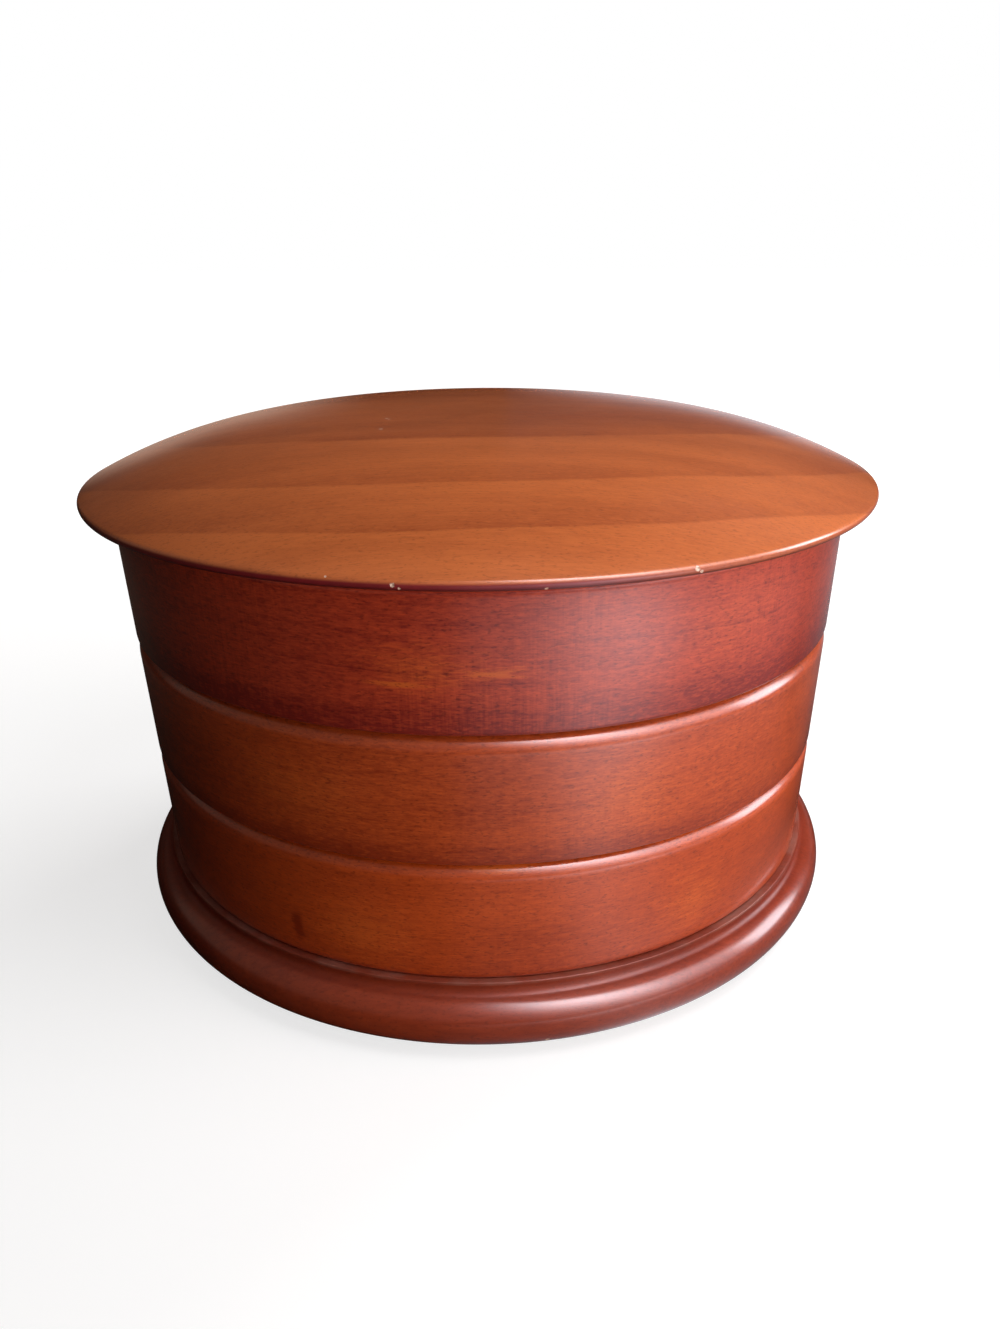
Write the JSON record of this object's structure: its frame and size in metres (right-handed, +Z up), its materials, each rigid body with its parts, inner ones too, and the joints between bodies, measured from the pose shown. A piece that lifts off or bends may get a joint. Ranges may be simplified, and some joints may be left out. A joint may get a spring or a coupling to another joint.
{
  "type": "swivel jewellery box",
  "caption": "Round swivel jewellery box: stacked wooden trays turn on a rear post over a moulded base, under a domed lid that is hinged at the back and holds a mirror.",
  "frame": {"origin": "centre of the base's underside, on the surface that the box stands on", "axes": "+Z up along the box's axis, -Y towards the front, +Y towards the pivot post and lid hinge"},
  "size_m": [0.1948, 0.1948, 0.1246],
  "materials": {
    "lid_wood": "cherry-stained glued boards under satin lacquer",
    "tier_wood": "red cherry stain under satin lacquer",
    "base_wood": "dark red stain under satin lacquer",
    "plywood": "bare plywood",
    "velvet": "short-pile velvet",
    "felt": "pressed felt",
    "steel": "plated steel",
    "brass": "polished brass",
    "nylon": "natural nylon",
    "mirror": "silvered glass"
  },
  "bodies": {
    "base": {"base_plate": "base_wood", "base_felt": "felt", "base_screws": "brass", "bottom_wall": "tier_wood", "bottom_floor": "plywood", "bottom_wall_lining": "velvet", "bottom_floor_lining": "velvet", "bottom_divider": "velvet", "bottom_pivot_block": "tier_wood", "pivot_post": "steel", "post_base_nut": "steel", "post_base_washer": "steel", "lower_washer": "nylon", "lower_stop_pin": "steel", "cap_washer": "nylon", "spring_washer": "steel", "post_cap_nut": "steel"},
    "middle_tier": {"middle_wall": "tier_wood", "middle_floor": "plywood", "middle_wall_lining": "velvet", "middle_floor_lining": "velvet", "middle_cross_divider": "velvet", "middle_long_divider": "velvet", "middle_pivot_block": "tier_wood", "middle_bush": "brass", "upper_washer": "nylon", "upper_stop_pin": "steel"},
    "top_tier": {"top_wall": "tier_wood", "top_floor": "plywood", "top_wall_lining": "velvet", "top_floor_lining": "velvet", "top_cross_divider": "velvet", "top_back_divider": "velvet", "top_side_dividers": "velvet", "ring_rolls": "velvet", "top_pivot_block": "tier_wood", "top_bush": "brass", "hinge_lower_leaf": "brass", "hinge_pin": "brass", "lower_leaf_screws": "brass", "felt_bumpers": "felt"},
    "lid": {"lid_panel": "lid_wood", "mirror": "mirror", "mirror_ring": "base_wood", "hinge_upper_leaf": "brass", "upper_leaf_screws": "brass"}
  },
  "joints": [
    {"name": "middle_tier_swivel", "type": "hinge", "parent": "base", "child": "middle_tier", "pos_m": [0, 0.07, 0.0475], "axis": [0, 0, 1], "range_deg": [-105, 105]},
    {"name": "top_tier_swivel", "type": "hinge", "parent": "middle_tier", "child": "top_tier", "pos_m": [0, 0.07, 0.0775], "axis": [0, 0, 1], "range_deg": [-105, 105]},
    {"name": "lid_hinge", "type": "hinge", "parent": "top_tier", "child": "lid", "pos_m": [0, 0.092, 0.1082], "axis": [-1, 0, 0], "range_deg": [0, 110]}
  ]
}
